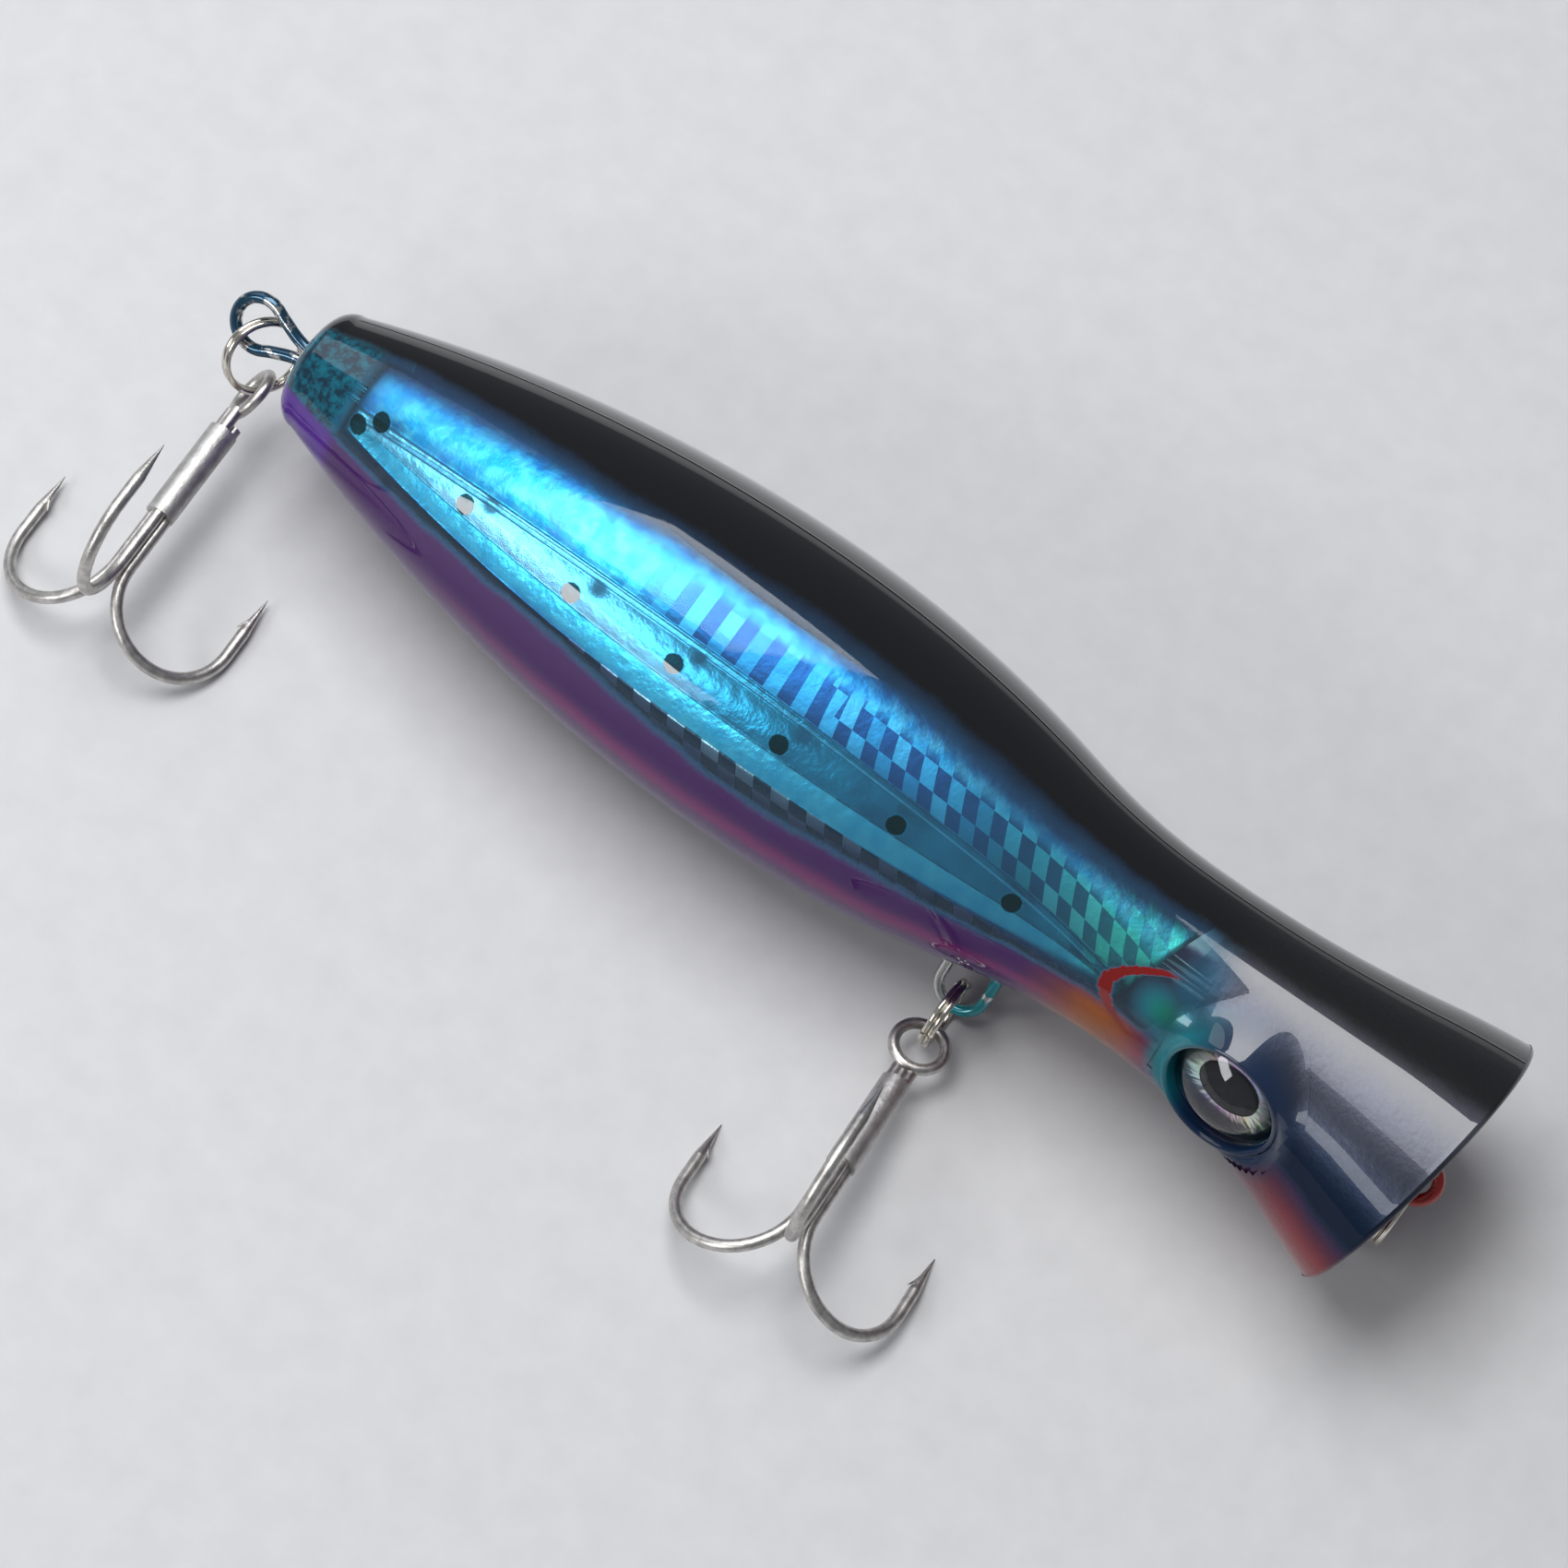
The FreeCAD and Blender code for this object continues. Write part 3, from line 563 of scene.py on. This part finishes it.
def body_shell(side):
    """One moulded half: the outside from the tail, round the lip and into the mouth cup."""
    sign = -SIDES[side]
    seam = np.radians([0, 0.35, 0.7, 1.05, 1.5, 2.2])
    middle = np.linspace(math.radians(3.5), math.radians(176.5), 118)
    around = np.concatenate([seam, middle, math.pi - seam[::-1]])
    ridge = PARTING_RIDGE * np.exp(-(np.minimum(around, math.pi - around) / PARTING_WIDTH) ** 2)
    around = around * sign
    x, radius = hull_profile()
    rows = [
        section(np.full(len(around), at), r + ridge * (at > TAIL_ROUNDING), around)
        for at, r in zip(x, radius)]
    inside = [0.0] * len(rows)
    normal = np.array([math.cos(MOUTH_SLANT), 0, -math.sin(MOUTH_SLANT)])
    rim = np.array([BODY_LENGTH, 0, -MOUTH_DROP])
    upward = np.array([math.sin(MOUTH_SLANT), 0, math.cos(MOUTH_SLANT)])
    spokes = np.cos(around)[:, None] * upward + np.sin(around)[:, None] * np.array([0, -1, 0])
    inner = math.sqrt(CUP_RADIUS ** 2 - CUP_AHEAD ** 2)
    lip = (MOUTH_RADIUS - inner) / 2
    for turn in np.linspace(0, math.pi, 9):
        outward = inner + lip + lip * math.cos(turn)
        rows.append(rim + spokes * outward + normal * (LIP_BULGE * math.sin(turn) - LIP_SETBACK))
        inside.append(0.0 if turn < 1.2 else 1.0)
    centre = rim + normal * CUP_AHEAD
    opening = math.acos(CUP_AHEAD / CUP_RADIUS)
    for turn in np.linspace(opening - 0.02, 0.02, 30):
        rows.append(centre + CUP_RADIUS * (spokes * math.sin(turn) - normal * math.cos(turn)))
        inside.append(1.0)
    grid = np.array(rows)
    points = grid.reshape(-1, 3)
    along_step = np.gradient(grid, axis=0)
    around_step = np.gradient(grid, axis=1)
    around_step[:, 0] = np.array([0, -sign, 0]) * np.linalg.norm(around_step[:, 1], axis=1)[:, None]
    around_step[:, -1] = np.array([0, sign, 0]) * np.linalg.norm(around_step[:, -2], axis=1)[:, None]
    normals = np.cross(around_step, along_step).reshape(-1, 3) * sign
    normals /= np.maximum(np.linalg.norm(normals, axis=1), 1e-9)[:, None]
    faces = np.array(grid_faces(len(rows), len(around)))
    depth, reach = from_eye_axis(side, points[faces].mean(axis=1))
    outside = np.repeat(np.array(inside)[:-1], len(around) - 1) < 0.5
    faces = faces[~((reach < SOCKET_CUT) & (depth > NEAR_SIDE) & outside)]
    if side == "right":
        faces = faces[:, ::-1]
    attributes = surface_attributes(points)
    attributes["inside"] = np.repeat(inside, len(around))
    row_normals = normals @ (LURE / MM)
    piece = mesh_object(
        f"body_{side}_half", to_row(points), faces, SHELL, "lure", attributes, row_normals)
    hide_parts(f"body_shell_{side}")


def eye_frame(side):
    """The way an eye looks, and the directions along and up its face."""
    look = np.array([-math.sin(EYE_TURN), SIDES[side] * math.cos(EYE_TURN) * math.cos(EYE_DROOP),
                     -math.cos(EYE_TURN) * math.sin(EYE_DROOP)])
    ahead = np.array([1.0, 0, 0]) - look * look[0]
    ahead /= np.linalg.norm(ahead)
    up = np.cross(look, ahead) * SIDES[side] * -1
    return look, ahead, up


EYE_TURNS = np.linspace(0, 2 * math.pi, 97)[:-1]


def eye_spokes(side):
    """Unit directions across an eye's face, one for each of EYE_TURNS."""
    _, ahead, up = eye_frame(side)
    return np.cos(EYE_TURNS)[:, None] * ahead + np.sin(EYE_TURNS)[:, None] * up


def eye_rings(side, rings):
    """Closed rings round an eye's axis from (reach, depth) pairs, as points and faces."""
    look, spokes = eye_frame(side)[0], eye_spokes(side)
    grid = np.array([
        EYE_ROOT + spokes * np.reshape(reach, (-1, 1)) + look * np.reshape(depth, (-1, 1))
        for reach, depth in rings])
    faces = np.array(grid_faces(len(rings), len(EYE_TURNS), wrap=True))
    return grid.reshape(-1, 3), faces[:, ::-1] if side == "left" else faces


def hull_depth(side, offsets):
    """How far along an eye's axis the body's surface is, for points offset from that axis."""
    look = eye_frame(side)[0]
    near, far = np.zeros(len(offsets)), np.full(len(offsets), 14.0)
    for _ in range(30):
        middle = (near + far) / 2
        points = EYE_ROOT + offsets + look * middle[:, None]
        level = points[:, 2] + MOUTH_DROP * flare(points[:, 0])
        outside = np.hypot(points[:, 1], level) > hull_radius(points[:, 0])
        near, far = np.where(outside, near, middle), np.where(outside, middle, far)
    return near


def eye_socket(side):
    """The raised ring round the eye, blended down onto the body."""
    spokes = eye_spokes(side)
    inner = EYE_RADIUS + 0.06
    half = (SOCKET_RADIUS - inner) / 2
    rings = [(inner, EYE_SEAT), (inner, SOCKET_REACH - half)]
    for angle in np.linspace(math.pi, 0.5, 9):
        reach = inner + half + half * math.cos(angle)
        rings.append((reach, SOCKET_REACH - half + half * math.sin(angle)))
    edge_reach, edge_depth = rings[-1]
    for share in np.linspace(0.06, 1.0, 16):
        reach = edge_reach + (SOCKET_BLEND - edge_reach) * share
        surface = hull_depth(side, spokes * reach) - 0.03
        rings.append((reach, surface + (edge_depth - surface) * (1 - share) ** 2.6))
    rings = [(reach, np.broadcast_to(at, len(spokes))) for reach, at in rings]
    points, faces = eye_rings(side, rings)
    piece = mesh_object(
        f"eye_socket_{side}", to_row(points), faces, SHELL, "lure", surface_attributes(points))


def eye_disc(name, side, half_width, half_height, depth, crown, material):
    """A thin round sheet across the eye's axis, crowned outwards, with a turned-down edge."""
    reaches = np.concatenate([np.linspace(0.02, 1.0, 14), [1.0]])
    depths = depth + crown * (1 - reaches ** 2)
    depths[-1] -= DISC_EDGE
    spread = np.hypot(half_height * np.cos(EYE_TURNS), half_width * np.sin(EYE_TURNS))
    oval = half_width * half_height / spread
    points, faces = eye_rings(
        side, [(oval * reach, np.full(len(oval), at)) for reach, at in zip(reaches, depths)])
    attributes = {
        "turn": np.tile(EYE_TURNS / (2 * math.pi), len(reaches)), "reach": np.repeat(reaches, len(oval))}
    return mesh_object(name, to_row(points), faces, material, "lure", attributes)


def eye(side):
    """Foil iris, black pupil and clear dome, one over the other in the socket."""
    iris = eye_disc(f"iris_{side}", side, EYE_RADIUS, EYE_RADIUS, EYE_SEAT + IRIS_RISE, 0.0, IRIS)
    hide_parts(f"eye_iris_{side}")
    pupil = eye_disc(
        f"pupil_{side}", side, PUPIL_HALF_WIDTH, PUPIL_HALF_HEIGHT, EYE_SEAT + PUPIL_RISE, PUPIL_CROWN, PUPIL)
    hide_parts(f"eye_pupil_{side}")
    dome = eye_disc(
        f"dome_{side}", side, EYE_RADIUS, EYE_RADIUS, EYE_SEAT + DOME_RISE, DOME_CROWN, DOME)
    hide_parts(f"eye_dome_{side}")


def foil_insert(side):
    """The reflector inside a half: it follows the wall and has a channel along the side."""
    stations, shares = np.linspace(0, 1, 200), np.linspace(0, 1, 120)
    along_share, share = np.meshgrid(stations, shares, indexing="ij")
    front = FOIL_FRONT - FOIL_RAKE * share
    x = FOIL_REAR + (front - FOIL_REAR) * along_share
    s = (x - FOIL_MIDDLE) / FOIL_REACH
    rear = x < FOIL_MIDDLE
    # Heights of the channel's top edge and lower edge, and of the lower end of the bevel under it.
    upper = 5.2 - np.where(rear, 3.4, 5.2) * s ** 2
    lower = 0.4 - np.where(rear, -0.4, 1.6) * s ** 2
    bevel_end = -1.9 - np.where(rear, -1.6, 0.5) * s ** 2
    widen = np.clip((x - 34) / 22, 0, 1) * np.clip((96 - x) / 12, 0, 1)
    bottom = bevel_end - 0.1 - 2.5 * widen * widen * (3 - 2 * widen)
    radius = hull_radius(x) - WALL - FOIL_CLEARANCE
    top_angle = np.arccos(np.minimum(FOIL_TOP / radius, math.cos(math.radians(22))))
    bottom_angle = np.arccos(np.maximum(bottom / radius, -0.95))
    around = top_angle + (bottom_angle - top_angle) * share
    height = radius * np.cos(around)
    channel = 1 / (1 + np.exp((height - upper) / CHANNEL_EDGE)) * (height > lower)
    bevel = (height <= lower) * (height > bevel_end)
    ramp = np.clip((height - bevel_end) / (lower - bevel_end), 0, 1)
    depth = CHANNEL_DEPTH * np.sqrt(np.maximum(1 - s ** 2, 0.02))
    dent = depth * np.where(height > lower, channel, ramp)
    ridge = 0.14 * np.exp(-((height - upper - 0.15) / 0.14) ** 2)
    ridge = ridge + 0.12 * np.exp(-((height - upper + 0.85) / 0.12) ** 2)
    out = np.sqrt(np.maximum(radius ** 2 - height ** 2, 0.1)) - dent + ridge * (np.abs(s) < 0.97)
    points = np.stack([x, SIDES[side] * out, height], axis=-1).reshape(-1, 3)
    faces = np.array(grid_faces(len(stations), len(shares)))
    if side == "right":
        faces = faces[:, ::-1]
    attributes = {
        "along": x.ravel(), "above": (height - upper).ravel(), "below": (lower - height).ravel(),
        "channel": channel.ravel(), "bevel": bevel.astype(float).ravel(), "lure": points}
    piece = mesh_object(f"foil_{side}", to_row(points), faces, FOIL, "lure", attributes)
    thick = piece.modifiers.new("sheet", "SOLIDIFY")
    thick.thickness, thick.offset = FOIL_THICKNESS * MM, -1
    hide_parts(f"foil_insert_{side}")


for side in SIDES:
    body_shell(side)
    eye_socket(side)
    eye(side)
    foil_insert(side)


# Hardware ------------------------------------------------------------------------------------------

WIRE_TURN = np.linspace(0, 2 * math.pi, WIRE_SIDES + 1)[:-1]


def tube(name, path, radii, material, body):
    """A round wire along an open path of points in the row frame, with a radius for each point."""
    path = np.asarray(path, float)
    tangent = np.gradient(path, axis=0)
    tangent /= np.linalg.norm(tangent, axis=1)[:, None]
    side = np.cross(tangent[0], [0.3, 0.5, 0.81])
    rings = []
    for point, ahead, radius in zip(path, tangent, radii):
        side = side - ahead * side.dot(ahead)
        side /= np.linalg.norm(side)
        other = np.cross(ahead, side)
        spokes = np.cos(WIRE_TURN)[:, None] * side + np.sin(WIRE_TURN)[:, None] * other
        rings.append(point + radius * spokes)
    points = np.concatenate(rings)
    faces = [face[::-1] for face in grid_faces(len(path), WIRE_SIDES, wrap=True)]
    faces.append(tuple(range(WIRE_SIDES - 1, -1, -1)))
    faces.append(tuple(range(len(points) - WIRE_SIDES, len(points))))
    return mesh_object(name, points, faces, material, body)


def split_ring(name, node, body):
    """Two turns of wire wound as a coil, with cut ends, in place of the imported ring."""
    vertices = np.array([v.co for v in frame["nodes"][node].data.vertices])
    centre = vertices.mean(0)
    spread = vertices - centre
    first, second, axis = np.linalg.svd(spread, full_matrices=False)[2]
    outer = np.linalg.norm(spread - np.outer(spread @ axis, axis), axis=1).max()
    radius = outer - RING_WIRE * MM
    angle = np.linspace(0, RING_TURNS * 2 * math.pi, RING_STEPS)
    climb = (angle / angle[-1] - 0.5) * 2
    step = np.tanh(climb * 7) * RING_HALF_STEP * MM
    circle = np.outer(np.cos(angle), first) + np.outer(np.sin(angle), second)
    path = centre + radius * circle + np.outer(step, axis)
    from_end = np.minimum(np.arange(RING_STEPS), np.arange(RING_STEPS)[::-1])
    taper = np.minimum(1, 0.55 + from_end / 6)
    piece = tube(name, path, RING_WIRE * MM * taper, NICKEL, body)
    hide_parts(node)


for name in ("nose", "belly", "tail"):
    split_ring(f"{name}_coil_ring", f"{name}_split_ring", f"{name}_ring")


def repaint(node, material):
    """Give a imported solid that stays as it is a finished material."""
    piece = frame["nodes"][node]
    piece.data.materials.clear()
    piece.data.materials.append(material)


def smoothed(corners, rounds=4):
    """A closed path with its corners cut again and again, which ends as smooth bends."""
    path = np.asarray(corners, float)
    for _ in range(rounds):
        after = np.roll(path, -1, axis=0)
        path = np.stack([path * 0.75 + after * 0.25, path * 0.25 + after * 0.75], axis=1).reshape(-1, 3)
    return path


def ring_tube(name, path, radius, material, body):
    """A round wire along a closed path of points in the lure's upright plane, in the row frame."""
    tangent = np.roll(path, -1, axis=0) - np.roll(path, 1, axis=0)
    tangent /= np.linalg.norm(tangent, axis=1)[:, None]
    flat = np.array(left)
    other = np.cross(tangent, flat)
    cosine, sine = np.cos(WIRE_TURN)[None, :, None], np.sin(WIRE_TURN)[None, :, None]
    rings = path[:, None] + radius * (cosine * flat + sine * other[:, None])
    faces = grid_faces(len(path) + 1, WIRE_SIDES, wrap=True)
    count = len(path) * WIRE_SIDES
    faces = [tuple(corner % count for corner in face[::-1]) for face in faces]
    return mesh_object(name, rings.reshape(-1, 3), faces, material, body)


def loop_corners(x, height, radius, angles):
    """Corners round a loop of the through-wire, set out a little so that cutting them keeps its size."""
    reach = 1.06 * radius
    turns = [math.radians(angle) for angle in angles]
    return [(x + reach * math.cos(turn), 0, height + reach * math.sin(turn)) for turn in turns]


def through_wire():
    """One wire bent into a loop at each end, its two legs side by side through the body."""
    nose, drop, nose_loop = 125.6, -3.6, 2.1
    tail_loop, leg = 2.5, 0.66
    neck, bend, middle, shoulder, root = 122.9, 118.0, 112.0, 1.5, -1.4
    corners = [(bend, 0, drop - leg), (neck, 0, drop - leg)]
    corners += loop_corners(nose, drop, nose_loop, range(-140, 141, 35))
    corners += [(neck, 0, drop + leg), (bend, 0, drop + leg)]
    corners += [(middle, 0, leg), (shoulder, 0, leg), (root, 0, leg)]
    corners += loop_corners(TAIL_LOOP_X, 0, tail_loop, range(45, 316, 30))
    corners += [(root, 0, -leg), (shoulder, 0, -leg), (middle, 0, -leg)]
    path = to_row(smoothed(corners))
    wire = ring_tube("bent_through_wire", path, THROUGH_WIRE_RADIUS * MM, through_wire_material(), "lure")
    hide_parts("through_wire")


loop_root = (tail_end + forward * 0.5 * MM).x
nose_root = (tail_end + forward * 118 * MM).x
STEEL, RED = (0.55, 0.55, 0.54), (0.40, 0.008, 0.006)


def through_wire_material():
    """Steel wire: blue overspray on the tail loop, red paint on the nose loop."""
    g = Graph("through_wire_paint")
    place = position_of(g)
    worn = g.noise(place, 900.0, 3.0)
    x = g.add("ShaderNodeSeparateXYZ", Vector=place).outputs[0]
    tail = g.math("MULTIPLY", g.step(x, loop_root + 0.002, loop_root), g.step(worn, 0.62, 0.5))
    nose = g.math("MULTIPLY", g.step(x, nose_root, nose_root + 0.001), g.step(worn, 0.75, 0.65))
    colour = g.mix(tail, STEEL, (0.012, 0.055, 0.10))
    colour = g.mix(nose, colour, RED)
    metallic = g.math("SUBTRACT", 1.0, g.math("MULTIPLY", tail, 0.35))
    metallic = g.math("SUBTRACT", metallic, g.math("MULTIPLY", nose, 0.85))
    rough = g.math("ADD", 0.13, g.math("MULTIPLY", worn, 0.14))
    normal = g.bump(worn, 0.1, 0.0001)
    return g.output(g.principled(
        Base_Color=colour, Metallic=metallic, Roughness=rough, Normal=normal, Coat_Weight=0.4))


hanger_low, hanger_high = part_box("belly_hanger")
hanger_middle = (hanger_low.x + hanger_high.x) / 2
through_wire()
repaint("belly_hanger", wire_material(
    "hanger_paint", STEEL, (0.01, 0.22, 0.26), hanger_middle - 0.001, hanger_middle + 0.0012))
for node in ("tail_ballast", "belly_ballast"):
    repaint(node, LEAD)
for name in ("belly", "tail"):
    repaint(f"{name}_treble_double_hook", TINNED)
    repaint(f"{name}_treble_single_hook", TINNED)
    repaint(f"{name}_treble_braze", SOLDER)


# Stage ---------------------------------------------------------------------------------------------

# The softboxes: name, place and aim in metres, width and height, watts, colour.
LIGHTS = (
    ("overhead", (-0.24, 0.07, 0.72), (0, 0, 0), (0.66, 0.34), 5.6, (1, 1, 1)),
    ("front_low", (-0.30, -0.53, 0.35), (0, 0, 0.01), (0.36, 0.14), 1.7, (1, 1, 1)),
    ("tail_fill", (-0.6, 0.15, 0.45), (0, 0, 0), (0.4, 0.4), 0.8, (0.92, 0.96, 1.0)),
)
ROOM_COLOUR, ROOM_STRENGTH = (0.80, 0.84, 0.90, 1), 0.26


def area_light(name, place, aim, size, power, colour):
    lamp = bpy.data.lights.new(name, "AREA")
    lamp.shape, lamp.size, lamp.size_y = "RECTANGLE", *size
    lamp.energy, lamp.color = power, colour
    light = bpy.data.objects.new(name, lamp)
    light.location = place
    light.rotation_euler = (Vector(aim) - Vector(place)).to_track_quat("-Z", "Y").to_euler()
    bpy.context.collection.objects.link(light)


def camera():
    """A long lens above the lure's right side, aimed near the middle of it."""
    data = bpy.data.cameras.new("photo_view")
    data.lens, data.sensor_width = 100, 36
    data.clip_start, data.clip_end = 0.01, 10
    view = bpy.data.objects.new("photo_view", data)
    azimuth, tilt, roll = math.radians(-71.11), math.radians(23.85), math.radians(18.22)
    target, distance = Vector((2.16, 8.53, 12)) * MM, 0.3956
    flat_x, flat_y = math.sin(tilt) * math.cos(azimuth), math.sin(tilt) * math.sin(azimuth)
    back = Vector((flat_x, flat_y, math.cos(tilt)))
    level = Vector((-math.sin(azimuth), math.cos(azimuth), 0))
    across = level * math.cos(roll) + back.cross(level) * math.sin(roll)
    up = back.cross(across)
    view.matrix_world = Matrix((
        (across.x, up.x, back.x, 0), (across.y, up.y, back.y, 0), (across.z, up.z, back.z, 0),
        (0, 0, 0, 1)))
    view.location = target + back * distance
    bpy.context.collection.objects.link(view)
    bpy.context.scene.camera = view


def floor():
    """A flat pale sheet, far larger than the lure."""
    half_size, count = 1.6, 24
    line = np.linspace(-half_size, half_size, count)
    points = [(x, y, 0.0) for x in line for y in line]
    faces = [tuple(map(int, face)) for face in grid_faces(count, count)]
    mesh = bpy.data.meshes.new("floor")
    mesh.from_pydata(points, [], faces)
    mesh.materials.append(floor_material())
    ground = bpy.data.objects.new("floor", mesh)
    bpy.context.collection.objects.link(ground)


camera()
floor()
for light in LIGHTS:
    area_light(*light)
world = bpy.data.worlds.new("studio")
world.use_nodes = True
background = world.node_tree.nodes["Background"]
background.inputs["Color"].default_value = ROOM_COLOUR
background.inputs["Strength"].default_value = ROOM_STRENGTH
bpy.context.scene.world = world
bpy.context.scene.view_settings.view_transform = "Standard"

bpy.context.view_layer.update()
